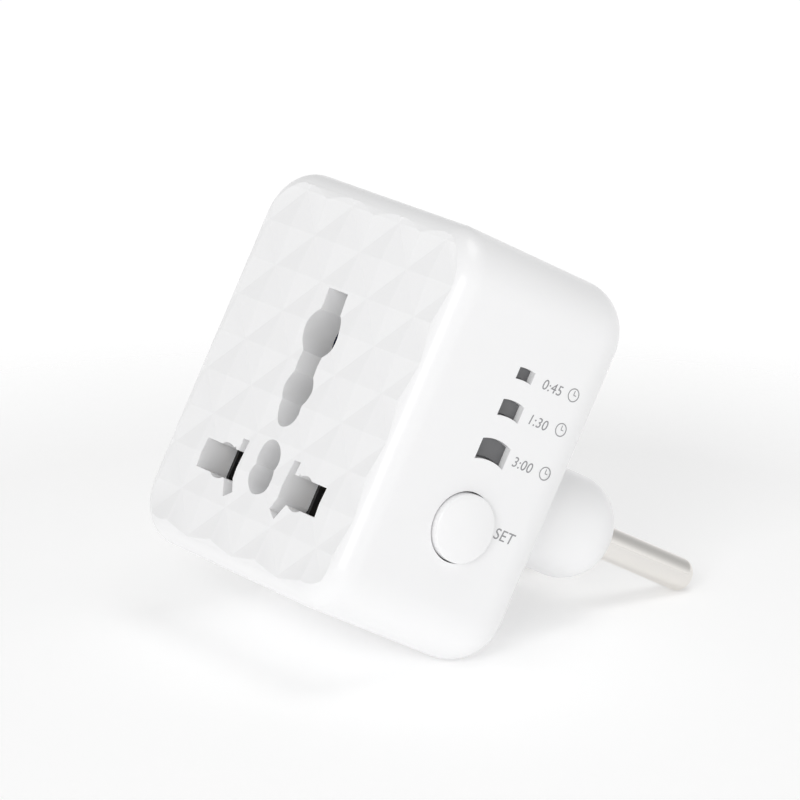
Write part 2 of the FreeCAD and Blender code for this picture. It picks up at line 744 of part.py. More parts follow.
def make_button():
    """Crowned cap with a flange that keeps it in, turned about its own axis."""
    cap_edge = f"({SIDE_FACE} + button_proud)"
    points = [
        (FLANGE_IN, "0"),
        (f"({cap_edge} + button_crown)", "0"),
        (f"({cap_edge} + button_crown)", "button_flat"),
        (cap_edge, "button_radius"),
        (FLANGE_OUT, "button_radius"),
        (FLANGE_OUT, "button_flange_radius"),
        (FLANGE_IN, "button_flange_radius"),
    ]
    button = revolve("Button", "X_Axis", points, ("0", "0", "button_height"))
    name_node(button, "set_button")


def make_switch():
    half = "(switch_side/2)"
    case = box("SwitchCase", (SIDE_BOARD_OUT, SWITCH_TOP), (f"-{half}", half),
               (f"(button_height - {half})", f"(button_height + {half})"))
    well = rod_x("SwitchWell", "0", "button_height", (f"({SWITCH_TOP} - plunger_well)", f"{SWITCH_TOP} + 1"),
                 "plunger_radius + 0.1")
    name_node(cut("Switch", case, [well]), "tact_switch")
    plunger = rod_x("Plunger", "0", "button_height", (f"({FLANGE_IN} - plunger_length)", FLANGE_IN),
                    "plunger_radius")
    name_node(plunger, "switch_plunger")


def make_windows():
    half_y = "(window_width_low/2 + lens_margin)"
    low = "(window_pitch_low - window_height_low/2 - lens_margin)"
    high = "(window_pitch_top + window_height_top/2 + lens_margin)"
    plate = box("LensPlate", (f"({INNER_SIDE} - lens_thick)", INNER_SIDE), (f"-{half_y}", half_y), (low, high))
    pads = [window(f"LensPad{which}", which, (f"({INNER_SIDE} - 0.3)", f"({SIDE_FACE} - window_recess)"),
                   "lens_gap") for which in WINDOWS]
    name_node(fuse("Lens", [plate] + pads), "window_lens")
    tunnel_x = (SIDE_BOARD_OUT, f"({INNER_SIDE} - lens_thick)")
    frame = box("ShroudBlock", tunnel_x, (f"-{half_y}", half_y), (low, high))
    tunnels = [box(f"Tunnel{which}", (f"({tunnel_x[0]} - 1)", f"({tunnel_x[1]} + 1)"),
                   (f"-({half_y} - shroud_wall)", f"({half_y} - shroud_wall)"),
                   (f"(window_pitch_{which} - tunnel_rise)", f"(window_pitch_{which} + tunnel_rise)"))
               for which in WINDOWS]
    name_node(cut("Shroud", frame, tunnels), "led_shroud")
    for which, label in zip(WINDOWS, ("led_short", "led_medium", "led_long")):
        lamp = box(f"Lamp{which}", (SIDE_BOARD_OUT, f"({SIDE_BOARD_OUT} + led_depth)"),
                   ("-led_length/2", "led_length/2"),
                   (f"(window_pitch_{which} - led_width/2)", f"(window_pitch_{which} + led_width/2)"))
        name_node(lamp, label)


def make_boards():
    """The indicator board by the side wall and the power board by the rear wall."""
    side_y = ("(-side_board_length/2 - side_board_shift)", "(side_board_length/2 - side_board_shift)")
    side = box("SideBoard", (SIDE_BOARD_IN, SIDE_BOARD_OUT), side_y, ("side_board_bottom", "side_board_top"))
    name_node(side, "indicator_board")
    half = f"({INNER_SIDE} - board_side_gap)"
    plate = box("BoardPlate", (f"-{half}", half), (BOARD_FRONT, BOARD_BACK),
                ("(wall + board_end_gap)", "(case_height - wall - board_end_gap)"))
    through = (f"({BOARD_FRONT} - 1)", f"({BOARD_BACK} + 1)")
    holes = [rod_y(f"BoardHole{spot}", "0", height, through, "screw_radius + screw_clear")
             for spot, height in SCREW_Z.items()]
    for name, sign, z in (("Neutral", "", TAIL_Z), ("Switched", "-", TAIL_Z), ("Line", "-", FEED_Z)):
        holes.append(strip_slot(f"BoardSlot{name}", sign, through, z))
    name_node(cut("PowerBoard", plate, holes), "main_board")


def on_board(name, x, z, depth):
    """A block that stands on the front of the power board."""
    return box(name, x, (f"({BOARD_FRONT} - {depth})", BOARD_FRONT), z)


def make_power_parts():
    part_floor = f"({FEED_Z[1]} + feed_gap)"
    relay = on_board("Relay", (f"-({INNER_SIDE} - relay_gap)", "-relay_inner"),
                     (part_floor, "(case_height - wall - relay_roof)"), "relay_depth")
    name_node(relay, "relay")
    film_right = f"({SIDE_BOARD_IN} - film_gap)"
    film = on_board("Film", (f"({film_right} - film_width)", film_right),
                    (part_floor, f"({CAN_Z} - can_radius - can_gap)"), "film_depth")
    name_node(film, "supply_capacitor")
    can = rod_y("Can", "can_x", CAN_Z, (f"({BOARD_FRONT} - can_length)", BOARD_FRONT), "can_radius")
    name_node(can, "smoothing_capacitor")
    bridge = on_board("Bridge", around("-pin_spacing/2", "bridge_side"), around(PART_ROW, "bridge_side"),
                      "bridge_depth")
    name_node(bridge, "bridge_rectifier")
    chip = on_board("Chip", around("0", "chip_width"), around(PART_ROW, "chip_height"), "chip_depth")
    name_node(chip, "timer_chip")
    disc_left = f"(-({INNER_SIDE} - varistor_gap))"
    disc = rod_x("Disc", f"({BOARD_FRONT} - varistor_radius)", PART_ROW,
                 (disc_left, f"({disc_left} + varistor_depth)"), "varistor_radius")
    name_node(disc, "varistor")
    fuse_left = "(chip_width/2 + chip_gap)"
    cartridge = rod_x("Cartridge", f"({BOARD_FRONT} - fuse_radius)", PART_ROW,
                      (fuse_left, f"({fuse_left} + fuse_length)"), "fuse_radius")
    name_node(cartridge, "fuse")
    header_top = "(side_board_top - header_inset)"
    header = box("Header", (f"({SIDE_BOARD_IN} - header_side)", SIDE_BOARD_IN),
                 (f"({BOARD_FRONT} - header_side)", BOARD_FRONT),
                 (f"({header_top} - header_length)", header_top))
    name_node(header, "board_header")


def check_and_write():
    doc.recompute()
    failed = [thing.Name for thing in doc.Objects
              if {"Invalid", "Error"} & set(thing.State)]
    if failed:
        raise RuntimeError(f"these objects failed: {failed}")
    os.makedirs("parts", exist_ok=True)
    for node in NODES:
        shape = node.Shape
        if shape.isNull() or not shape.isValid() or not shape.Solids:
            raise RuntimeError(f"{node.Label} has no valid solid")
        shape.exportStep(os.path.join("parts", node.Label + ".step"))
        size = shape.BoundBox
        print(f"{node.Label:22s} {len(shape.Solids)} solid(s) {shape.Volume:9.1f} mm3 "
              f"x {size.XMin:6.2f}..{size.XMax:6.2f} y {size.YMin:6.2f}..{size.YMax:6.2f} "
              f"z {size.ZMin:6.2f}..{size.ZMax:6.2f}")


make_main_housing()
make_front_cover()
make_case_screws()
make_plug_pins()
make_pin_carrier()
make_strips()
make_pin_screws()
make_contacts()
make_contact_holder()
make_button()
make_switch()
make_windows()
make_boards()
make_power_parts()
check_and_write()
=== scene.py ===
import json
import math

import bpy
from mathutils import Matrix, Vector


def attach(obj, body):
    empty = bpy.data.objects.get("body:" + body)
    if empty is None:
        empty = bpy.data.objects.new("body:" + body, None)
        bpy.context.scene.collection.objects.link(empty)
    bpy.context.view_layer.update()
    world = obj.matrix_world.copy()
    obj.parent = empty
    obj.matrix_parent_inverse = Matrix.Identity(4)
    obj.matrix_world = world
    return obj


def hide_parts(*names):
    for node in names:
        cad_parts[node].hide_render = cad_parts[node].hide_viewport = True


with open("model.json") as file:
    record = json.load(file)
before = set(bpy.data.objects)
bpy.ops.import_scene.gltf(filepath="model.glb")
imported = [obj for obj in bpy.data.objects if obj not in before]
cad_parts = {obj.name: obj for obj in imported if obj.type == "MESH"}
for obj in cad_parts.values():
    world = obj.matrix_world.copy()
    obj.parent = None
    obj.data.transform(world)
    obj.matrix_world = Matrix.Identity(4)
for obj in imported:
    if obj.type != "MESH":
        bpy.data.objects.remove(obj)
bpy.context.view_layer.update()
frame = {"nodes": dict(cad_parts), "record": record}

# Sizes in metres, in the frame of the CAD model: X across the face, Y from the face back
# to the plug, Z up

MM = 0.001
OVERCUT = 1 * MM           # how far a cutter reaches past what it cuts
SAME_POINT = 1e-6          # points nearer than this are at one place
MERGE = 2e-6

CASE_HALF = 24.25 * MM
CASE_TOP = 54.5 * MM
FACE_Y = -16.0 * MM
SEAM_Y = -12.0 * MM
REAR_Y = 16.0 * MM
WALL = 2.0 * MM
CORNER = 7.5 * MM
FRONT_ROUND = 3.5 * MM
REAR_ROUND = 6.5 * MM

LIP_GAP = 0.1 * MM         # between the cover's lip and the housing's wall
LIP_ROOT = 0.5 * MM        # how far the lip reaches into the cover
SLEEVE_Y = -10.4 * MM

FACET_CELL = 5.5 * MM
FACET_X = -21.3 * MM
FACET_Z = 51.6 * MM
FACET_RISE = 0.38 * MM
FACET_DEPTH = 5 * MM
FACET_COLUMNS, FACET_ROWS = 10, 12

# Socket openings, across and up from the line through the two power openings
SOCKET_Z = 13.25 * MM
POWER_NEAR = 5.5 * MM
POWER_FAR = 14.4 * MM
POWER_HALF_HEIGHT = 2.1 * MM
PIN_HOLE_RADIUS = 2.55 * MM
FLAT_FAR = 7.0 * MM
FLAT_DROP = 1.5 * MM
FLAT_RISE = 3.85 * MM
SLANT_X = 7.1 * MM
SLANT_DROP = 1.0 * MM
SLANT_HALF_WIDTH = 1.05 * MM
SLANT_HALF_LENGTH = 3.4 * MM
SLANT_TURN = math.radians(30)
EARTH_HALF_WIDTH = 2.3 * MM
EARTH_LOW = 9.5 * MM
EARTH_HIGH = 27.0 * MM
# Rise and radius in millimetres, and the sides of the round
CENTRE_ROUNDS = (("centre_cutter", 0, 2.5, 48), ("centre_rise_cutter", 2.8, 2.5, 48))
EARTH_ROUNDS = (("earth_round_cutter", 20.9, 3.8, 64), ("earth_lobe_cutter", 12.9, 3.05, 48),
                ("earth_foot_cutter", 9.5, 2.2, 48))

# Plug: boss with two pins
PLUG_Z = 23.2 * MM
PIN_X = 9.5 * MM
BOSS_HALF = 10.5 * MM
BOSS_RADIUS = 7.35 * MM
BOSS_END = 33.4 * MM
BOSS_ROUND = 6.2 * MM
BOSS_ROOT = 1 * MM
BOSS_END_WALL = 4 * MM
PIN_WAY_RADIUS = 2.85 * MM
PIN_WAY_DEPTH = 5 * MM
PIN_WAY_Z = PLUG_Z + 0.003 * MM     # just off the boss's own corners
PIN_START = 12.5 * MM
PIN_TIP = 52.4 * MM
PIN_TIP_ROUND = 1.9 * MM
# Radius and length of the shank, the root and the free end, in millimetres
PIN_STEPS = ((1.9, 14.9), (2.8, 6.0), (2.4, 19.0))

# Case screws in the rear wall
SCREW_HEIGHTS = (6.0 * MM, 48.5 * MM)
SCREW_POST_RADIUS = 3.3 * MM
SCREW_SINK_RADIUS = 2.3 * MM
SCREW_DEPTH = 3 * MM

# Right-hand side: button, windows and printed marks
SIDE_CUT = 3 * MM
BUTTON_Z = 17.5 * MM
BUTTON_HOLE_RADIUS = 4.95 * MM
FLANGE_X = 20.95 * MM
BUTTON_EDGE_X = 25.25 * MM
BUTTON_RIM = 0.22 * MM
# In millimetres
FLANGE_RADIUS, FLANGE_THICK = 5.7, 1.2
BUTTON_RADIUS, BUTTON_LENGTH, BUTTON_CROWN = 4.75, 3.1, 0.6
CROWN_RINGS = (0.86, 0.7, 0.52, 0.34, 0.16)
WINDOW_BOW = 7.0 * MM
# Height of the middle, width and height of each window, in millimetres
WINDOWS = ((39.3, 2.8, 1.65), (34.3, 3.8, 2.3), (28.3, 5.1, 2.95))
# Words, middle along Y, middle height and letter size, in millimetres
LABELS = (("label_short", "0:45", 4.95, 39.2, 2.0), ("label_medium", "1:30", 4.95, 34.2, 2.0),
          ("label_long", "3:00", 5.35, 28.2, 2.0), ("label_set", "SET", 7.2, 18.5, 2.2))
LETTER_SLANT = 0.12
LETTER_SPACING = 1.05
# Middle along Y and height of each clock, in millimetres
CLOCKS = (("clock_short", 8.8, 39.5), ("clock_medium", 9.1, 34.6), ("clock_long", 9.5, 28.4))
CLOCK_RADIUS = 0.88 * MM
CLOCK_LINE = 0.075 * MM
CLOCK_FLATNESS = 0.12
HAND_HALF_WIDTH = 0.06 * MM
HAND_UP = 0.62 * MM
HAND_ACROSS = 0.45 * MM
LETTER_LIFT = 0.01 * MM
CLOCK_LIFT = 0.012 * MM
INK_THICK = 0.008 * MM

# Floor, light and camera
UP = Vector((0, -0.4631, 0.8863))       # square to the floor that the tilted case rests on
FLOOR_DROP = -5.14 * MM
FLOOR_SHIFT = Vector((0, 0.015, 0.0078))
FLOOR_RADIUS = 0.2
FLOOR_FADE = (0.09, 0.16)
FLOOR_GLOW = 0.22
SKY_HEIGHTS = (-0.05, 0.5)
SKY_STRENGTHS = (1.02, 0.46)
LIGHT_TARGET = Vector((0, 0.01, 0.027))
# Direction to the light, its distance and width in metres, and its power in watts
LIGHTS = (("front_light", (0.55, -0.8, 0), 0.8, 0.3, 1.7),
          ("top_light", (0.15, -0.3, 0.95), 0.7, 0.4, 0.9))
CAMERA_PLACE = (0.5978, -0.4584, 0.0195)
CAMERA_RIGHT = Vector((0.5655, 0.7270, 0.3895))
CAMERA_BACK = Vector((0.7929, -0.6092, -0.0141))
CAMERA_LENS = 250
CAMERA_SENSOR = 36

# Modelling helpers


def only(obj):
    """Make this object the only selected and the active one."""
    bpy.ops.object.select_all(action="DESELECT")
    obj.select_set(True)
    bpy.context.view_layer.objects.active = obj


def settle(obj):
    """Apply the place, turn and scale, so that the object sits at the origin."""
    only(obj)
    bpy.ops.object.transform_apply(location=True, rotation=True, scale=True)
    return obj


def leave():
    """Go back to object mode."""
    bpy.ops.object.mode_set(mode="OBJECT")


def block(name, low, high):
    """A box between two corners."""
    low, high = Vector(low), Vector(high)
    bpy.ops.object.select_all(action="DESELECT")
    bpy.ops.mesh.primitive_cube_add(size=1, location=(low + high) / 2)
    obj = bpy.context.object
    obj.name = name
    obj.scale = high - low
    return settle(obj)


def rod(name, start, end, radius, sides):
    """A cylinder between two points."""
    start, end = Vector(start), Vector(end)
    bpy.ops.object.select_all(action="DESELECT")
    bpy.ops.mesh.primitive_cylinder_add(
        vertices=sides, radius=radius, depth=(end - start).length, location=(start + end) / 2)
    obj = bpy.context.object
    obj.name = name
    obj.rotation_mode = "QUATERNION"
    obj.rotation_quaternion = (end - start).to_track_quat("Z", "Y")
    return settle(obj)


def disc(name, place, radius, sides, turn):
    """A round face that is left open in edit mode, selected all over, to be pulled out."""
    bpy.ops.object.select_all(action="DESELECT")
    bpy.ops.mesh.primitive_circle_add(
        vertices=sides, radius=radius, fill_type="NGON", location=place, rotation=turn)
    obj = bpy.context.object
    obj.name = name
    settle(obj)
    bpy.ops.object.mode_set(mode="EDIT")
    bpy.ops.mesh.select_mode(type="FACE")
    bpy.ops.mesh.select_all(action="SELECT")
    return obj


def pull(move, grow, centre):
    """Extrude the selected face by a move, then grow it about a centre."""
    bpy.ops.mesh.extrude_region_move(TRANSFORM_OT_translate={"value": move})
    bpy.ops.transform.resize(value=grow, center_override=centre)


def close_up():
    """Merge doubled corners, turn the faces outwards and go back to object mode."""
    bpy.ops.mesh.select_all(action="SELECT")
    bpy.ops.mesh.remove_doubles(threshold=1e-7)
    bpy.ops.mesh.normals_make_consistent(inside=False)
    leave()


def pick(obj, kind, wanted):
    """Select the edges or faces of a mesh that the test picks, and enter edit mode."""
    only(obj)
    bpy.ops.object.mode_set(mode="EDIT")
    bpy.ops.mesh.select_mode(type=kind)
    bpy.ops.mesh.select_all(action="DESELECT")
    leave()
    mesh = obj.data
    for item in mesh.edges if kind == "EDGE" else mesh.polygons:
        item.select = wanted([mesh.vertices[v].co for v in item.vertices])
    bpy.ops.object.mode_set(mode="EDIT")


def along_y(points):
    run = points[1] - points[0]
    return abs(run.y) > 1e-5 and abs(run.x) < SAME_POINT and abs(run.z) < SAME_POINT


def at_y(y):
    return lambda points: all(abs(point.y - y) < SAME_POINT for point in points)


def at_x(x):
    return lambda points: all(abs(point.x - x) < SAME_POINT for point in points)


def round_off(obj, wanted, radius, segments):
    """Round the edges that the test picks."""
    pick(obj, "EDGE", wanted)
    bpy.ops.mesh.bevel(offset=radius, offset_type="OFFSET", segments=segments, profile=0.5,
                       affect="EDGES", clamp_overlap=False)
    bpy.ops.mesh.select_all(action="SELECT")
    bpy.ops.mesh.remove_doubles(threshold=MERGE)
    leave()


def combine(obj, other, how):
    """Join, cut or meet two solids, and drop the second."""
    only(obj)
    modifier = obj.modifiers.new("Meet", "BOOLEAN")
    modifier.operation = how
    modifier.solver = "EXACT"
    modifier.object = other
    bpy.ops.object.modifier_apply(modifier=modifier.name)
    bpy.data.objects.remove(other)


def smooth(obj, degrees):
    """Smooth shading with crisp edges and flat faces kept flat."""
    only(obj)
    bpy.ops.object.shade_smooth_by_angle(angle=math.radians(degrees))
    modifier = obj.modifiers.new("Even", "WEIGHTED_NORMAL")
    modifier.keep_sharp = True
    bpy.ops.object.modifier_apply(modifier=modifier.name)


def case_block(name, inset, front, rear):
    """The case's outline between two depths, with its four long edges rounded."""
    half = CASE_HALF - inset
    obj = block(name, (-half, front, inset), (half, rear, CASE_TOP - inset))
    round_off(obj, along_y, CORNER - inset, 14)
    return obj


def pill(name, radius, front, rear):
    """A block with half-round ends round both plug pins."""
    reach = BOSS_HALF + radius
    obj = block(name, (-reach, front, PLUG_Z - radius), (reach, rear, PLUG_Z + radius))
    round_off(obj, along_y, radius * 0.9999, 24)
    return obj


# Materials


def material(name, colour, roughness, metallic=0.0, coat=0.0, grain=0.05, grain_size=900.0):
    """A procedural finish. grain is how much the roughness wanders over the surface."""
    made = bpy.data.materials.new(name)
    made.use_nodes = True
    nodes, links = made.node_tree.nodes, made.node_tree.links
    shader = nodes["Principled BSDF"]
    shader.inputs["Base Color"].default_value = (*colour, 1.0)
    shader.inputs["Metallic"].default_value = metallic
    shader.inputs["Roughness"].default_value = roughness
    shader.inputs["Coat Weight"].default_value = coat
    shader.inputs["Coat Roughness"].default_value = 0.12
    place = nodes.new("ShaderNodeTexCoord")
    noise = nodes.new("ShaderNodeTexNoise")
    noise.inputs["Scale"].default_value = grain_size
    noise.inputs["Detail"].default_value = 3.0
    span = nodes.new("ShaderNodeMapRange")
    span.inputs["To Min"].default_value = roughness - grain
    span.inputs["To Max"].default_value = roughness + grain
    links.new(place.outputs["Object"], noise.inputs["Vector"])
    links.new(noise.outputs["Fac"], span.inputs["Value"])
    links.new(span.outputs["Result"], shader.inputs["Roughness"])
    return made


def dress(obj, finish):
    """Give every face of an object one finish."""
    obj.data.materials.clear()
    obj.data.materials.append(finish)
    for face in obj.data.polygons:
        face.material_index = 0


WHITE_CASE = material("white_case", (0.92, 0.92, 0.925), 0.3, coat=0.2, grain=0.03)
WHITE_BUTTON = material("white_button", (0.93, 0.93, 0.935), 0.26, coat=0.25, grain=0.03)
GREY_PRINT = material("grey_print", (0.3, 0.3, 0.31), 0.55)
NICKEL = material("bright_nickel", (0.83, 0.81, 0.78), 0.16, metallic=1.0, grain=0.04,
                  grain_size=500.0)
FINISHES = {
    "white_gloss": WHITE_CASE,
    # Painted shade: this white matte insulator is made grey, so that what shows through the socket
    # openings looks like deep shade
    "white_matte": material("insulator_greyed_for_painted_shade", (0.4, 0.4, 0.4), 0.55),
    "smoked": material("smoked_lens", (0.13, 0.13, 0.135), 0.22, coat=0.3, grain=0.04),
    "nickel": NICKEL,
    "brass": material("spring_brass", (0.78, 0.6, 0.28), 0.3, metallic=1.0, grain=0.06),
    "steel": material("zinc_steel", (0.55, 0.55, 0.56), 0.35, metallic=1.0, grain=0.08),
    "black": material("black_moulding", (0.02, 0.02, 0.021), 0.5, grain=0.06),
    "lamp": material("clear_lamp", (0.85, 0.8, 0.62), 0.25, grain=0.03),
    "board": material("green_board", (0.03, 0.17, 0.06), 0.4, grain=0.06),
    "relay_blue": material("relay_cover", (0.03, 0.08, 0.3), 0.4),
    "film_yellow": material("film_case", (0.6, 0.42, 0.05), 0.45),
    "disc_blue": material("disc_coating", (0.03, 0.12, 0.36), 0.4),
    "sleeve_black": material("can_sleeve", (0.02, 0.02, 0.025), 0.3, grain=0.04),
}

for part in frame["record"]["subparts"]:
    dress(frame["nodes"][part["node"]], FINISHES[part["material_slot"]])


# Front cover: a rounded slab with a faceted face and the universal openings


def facet_slab():
    """A slab whose front is a field of low pyramids, wider than the face."""
    width, height = FACET_COLUMNS * FACET_CELL, FACET_ROWS * FACET_CELL
    left, top = FACET_X - FACET_CELL, FACET_Z + FACET_CELL
    bpy.ops.object.select_all(action="DESELECT")
    bpy.ops.mesh.primitive_grid_add(
        x_subdivisions=FACET_COLUMNS, y_subdivisions=FACET_ROWS, size=1,
        rotation=(math.radians(90), 0, 0),
        location=(left + width / 2, FACE_Y + FACET_RISE, top - height / 2))
    slab = bpy.context.object
    slab.name = "facet_slab"
    slab.scale = (width, height, 1)
    settle(slab)

    def cell_of(point):
        return round((point.x - left) / FACET_CELL), round((top - point.z) / FACET_CELL)

    # The split of each square joins its two low corners, so every other square turns
    for parity, method in ((0, "FIXED"), (1, "FIXED_ALTERNATE")):
        pick(slab, "FACE", lambda points: len(points) == 4 and
             sum(min(cell_of(p)[n] for p in points) for n in (0, 1)) % 2 == parity)
        bpy.ops.mesh.quads_convert_to_tris(quad_method=method)
        leave()
    only(slab)
    bpy.ops.object.mode_set(mode="EDIT")
    bpy.ops.mesh.select_mode(type="VERT")
    bpy.ops.mesh.select_all(action="DESELECT")
    leave()
    for vertex in slab.data.vertices:
        vertex.select = sum(cell_of(vertex.co)) % 2 == 0
    bpy.ops.object.mode_set(mode="EDIT")
    bpy.ops.transform.translate(value=(0, -FACET_RISE, 0))
    bpy.ops.mesh.select_all(action="SELECT")
    bpy.ops.mesh.extrude_region_move(TRANSFORM_OT_translate={"value": (0, FACET_DEPTH, 0)})
    bpy.ops.mesh.select_all(action="SELECT")
    bpy.ops.mesh.normals_make_consistent(inside=False)
    leave()
    return slab


def power_cutters(side):
    """One power opening: square block, round pin, flat blade and slanted blade."""
    front, back = FACE_Y - OVERCUT, SLEEVE_Y + OVERCUT
    near, far = sorted((side * POWER_NEAR, side * POWER_FAR))
    flat_near, flat_far = sorted((side * POWER_NEAR, side * FLAT_FAR))
    opening = block("power_cutter", (near, front, SOCKET_Z - POWER_HALF_HEIGHT),
                    (far, back, SOCKET_Z + POWER_HALF_HEIGHT))
    pin = rod("round_cutter", (side * PIN_X, front, SOCKET_Z), (side * PIN_X, back, SOCKET_Z),
              PIN_HOLE_RADIUS, 48)
    blade = block("flat_cutter", (flat_near, front, SOCKET_Z - FLAT_DROP),
                  (flat_far, back, SOCKET_Z + FLAT_RISE))
    slant = block("slant_cutter", (-SLANT_HALF_WIDTH, front, -SLANT_HALF_LENGTH),
                  (SLANT_HALF_WIDTH, back, SLANT_HALF_LENGTH))
    slant.rotation_euler = (0, SLANT_TURN * side, 0)
    slant.location = (side * SLANT_X, 0, SOCKET_Z - SLANT_DROP)
    settle(slant)
    return [opening, pin, blade, slant]


def round_cutters(rounds):
    """Upright rounds on the middle line of the socket."""
    return [rod(name, (0, FACE_Y - OVERCUT, SOCKET_Z + rise * MM),
                (0, SLEEVE_Y + OVERCUT, SOCKET_Z + rise * MM), radius * MM, sides)
            for name, rise, radius, sides in rounds]


def socket_cutters():
    """Cutters for all four openings of the socket."""
    cutters = power_cutters(-1) + power_cutters(1) + round_cutters(CENTRE_ROUNDS)
    cutters.append(block("earth_cutter",
                         (-EARTH_HALF_WIDTH, FACE_Y - OVERCUT, SOCKET_Z + EARTH_LOW),
                         (EARTH_HALF_WIDTH, SLEEVE_Y + OVERCUT, SOCKET_Z + EARTH_HIGH)))
    return cutters + round_cutters(EARTH_ROUNDS)


def make_cover():
    """The faceted cover, with flat facets and smooth rims."""
    cover = case_block("cover_skin", 0, FACE_Y, SEAM_Y)
    round_off(cover, at_y(FACE_Y), FRONT_ROUND, 12)
    combine(cover, facet_slab(), "INTERSECT")
    lip = case_block("cover_lip", WALL + LIP_GAP, SEAM_Y - LIP_ROOT, SLEEVE_Y)
    combine(cover, lip, "UNION")
    for cutter in socket_cutters():
        combine(cover, cutter, "DIFFERENCE")
    smooth(cover, 40)
    for face in cover.data.polygons:
        if face.normal.y < -0.9 and face.center.y < FACE_Y + 1.3 * FACET_RISE:
            face.use_smooth = False
    dress(cover, WHITE_CASE)
    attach(cover, "case")
    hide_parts("front_cover")


# Housing: the rounded box behind the cover, with the plug boss on its rear


def bowed_cutter(z, width, height):
    """A cutter for one window, with bowed top and bottom."""
    half, low, high = width * MM / 2, (z - height / 2) * MM, (z + height / 2) * MM
    cutter = block("window_cutter", (CASE_HALF - SIDE_CUT, -half, low),
                   (CASE_HALF + OVERCUT, half, high))
    pick(cutter, "EDGE", lambda points: abs(points[1].y - points[0].y) > 1e-5)
    bpy.ops.mesh.subdivide(number_cuts=9)
    leave()
    sag = WINDOW_BOW - math.sqrt(WINDOW_BOW ** 2 - half ** 2)
    for vertex in cutter.data.vertices:
        vertex.co.z -= WINDOW_BOW - math.sqrt(WINDOW_BOW ** 2 - vertex.co.y ** 2)
        vertex.co.z += sag / 2
    return cutter


def hollow_case(housing):
    """Hollow the case, leaving a post for each screw, and sink the screws."""
    back = REAR_Y - WALL
    inner = case_block("inner_space", WALL, SEAM_Y - OVERCUT, back)
    round_off(inner, at_y(back), REAR_ROUND - WALL, 8)
    for z in SCREW_HEIGHTS:
        post = rod("screw_post", (0, back - SCREW_DEPTH, z), (0, REAR_Y, z), SCREW_POST_RADIUS, 48)
        combine(inner, post, "DIFFERENCE")
    combine(housing, inner, "DIFFERENCE")
    for z in SCREW_HEIGHTS:
        sink = rod("screw_sink", (0, REAR_Y - SCREW_DEPTH, z), (0, REAR_Y + OVERCUT, z),
                   SCREW_SINK_RADIUS, 44)
        combine(housing, sink, "DIFFERENCE")


def add_boss(housing):
    """Add the plug boss, drilled for both pins, and open it to the case."""
    boss = pill("boss", BOSS_RADIUS, REAR_Y - BOSS_ROOT, BOSS_END)
    round_off(boss, at_y(BOSS_END), BOSS_ROUND, 14)
    for side in (-1, 1):
        way = rod("pin_way", (side * PIN_X, BOSS_END - PIN_WAY_DEPTH, PIN_WAY_Z),
                  (side * PIN_X, BOSS_END + OVERCUT, PIN_WAY_Z), PIN_WAY_RADIUS, 46)
        combine(boss, way, "DIFFERENCE")
    combine(housing, boss, "UNION")
    space = pill("boss_space", BOSS_RADIUS - WALL, REAR_Y - WALL - OVERCUT,
                 BOSS_END - BOSS_END_WALL)
    combine(housing, space, "DIFFERENCE")


def make_housing():
    """The case behind the cover, with its button hole, windows, screws and boss."""
    housing = case_block("housing_skin", 0, SEAM_Y, REAR_Y)
    round_off(housing, at_y(REAR_Y), REAR_ROUND, 16)
    hollow_case(housing)
    button_way = rod("button_way", (CASE_HALF - SIDE_CUT, 0, BUTTON_Z),
                     (CASE_HALF + OVERCUT, 0, BUTTON_Z), BUTTON_HOLE_RADIUS, 72)
    combine(housing, button_way, "DIFFERENCE")
    for z, width, height in WINDOWS:
        combine(housing, bowed_cutter(z, width, height), "DIFFERENCE")
    add_boss(housing)
    smooth(housing, 32)
    dress(housing, WHITE_CASE)
    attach(housing, "case")
    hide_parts("main_housing")


# Plug pins, button and printed marks


def make_pin(name, side):
    """A turned pin: shank, thicker root in the boss, free length and rounded tip."""
    centre = (side * PIN_X, 0, PLUG_Z)
    radius = PIN_STEPS[0][0]
    pin = disc(name, (side * PIN_X, PIN_START, PLUG_Z), radius * MM, 64,
               (math.radians(-90), 0, 0))
    for next_radius, length in PIN_STEPS:
        if next_radius != radius:
            grow = next_radius / radius
            pull((0, 0, 0), (grow, 1, grow), centre)
        pull((0, length * MM, 0), (1, 1, 1), centre)
        radius = next_radius
    close_up()
    round_off(pin, at_y(PIN_TIP), PIN_TIP_ROUND, 12)
    smooth(pin, 40)
    dress(pin, NICKEL)
    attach(pin, "case")
    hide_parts(name.replace("_skin", ""))


def picked_points(obj):
    """The corners that are selected in edit mode."""
    obj.update_from_editmode()
    return [vertex.co for vertex in obj.data.vertices if vertex.select]


def make_button():
    """The crowned button with its flange behind the wall."""
    centre = (0, 0, BUTTON_Z)
    button = disc("button_skin", (FLANGE_X, 0, BUTTON_Z), FLANGE_RADIUS * MM, 96,
                  (0, math.radians(90), 0))
    shrink = BUTTON_RADIUS / FLANGE_RADIUS
    pull((FLANGE_THICK * MM, 0, 0), (1, 1, 1), centre)
    pull((0, 0, 0), (1, shrink, shrink), centre)
    pull((BUTTON_LENGTH * MM, 0, 0), (1, 1, 1), centre)
    for share in CROWN_RINGS:
        ring = picked_points(button)
        rise = BUTTON_CROWN * (1 - share ** 2) * MM
        move = BUTTON_EDGE_X + rise - max(point.x for point in ring)
        scale = share * BUTTON_RADIUS * MM / max(abs(point.y) for point in ring)
        pull((move, 0, 0), (1, scale, scale), centre)
    close_up()
    round_off(button, at_x(BUTTON_EDGE_X), BUTTON_RIM, 4)
    smooth(button, 45)
    dress(button, WHITE_BUTTON)
    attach(button, "button")
    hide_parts("set_button")


def print_on_side(obj):
    """Finish a mark as grey print on the case."""
    dress(obj, GREY_PRINT)
    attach(obj, "case")


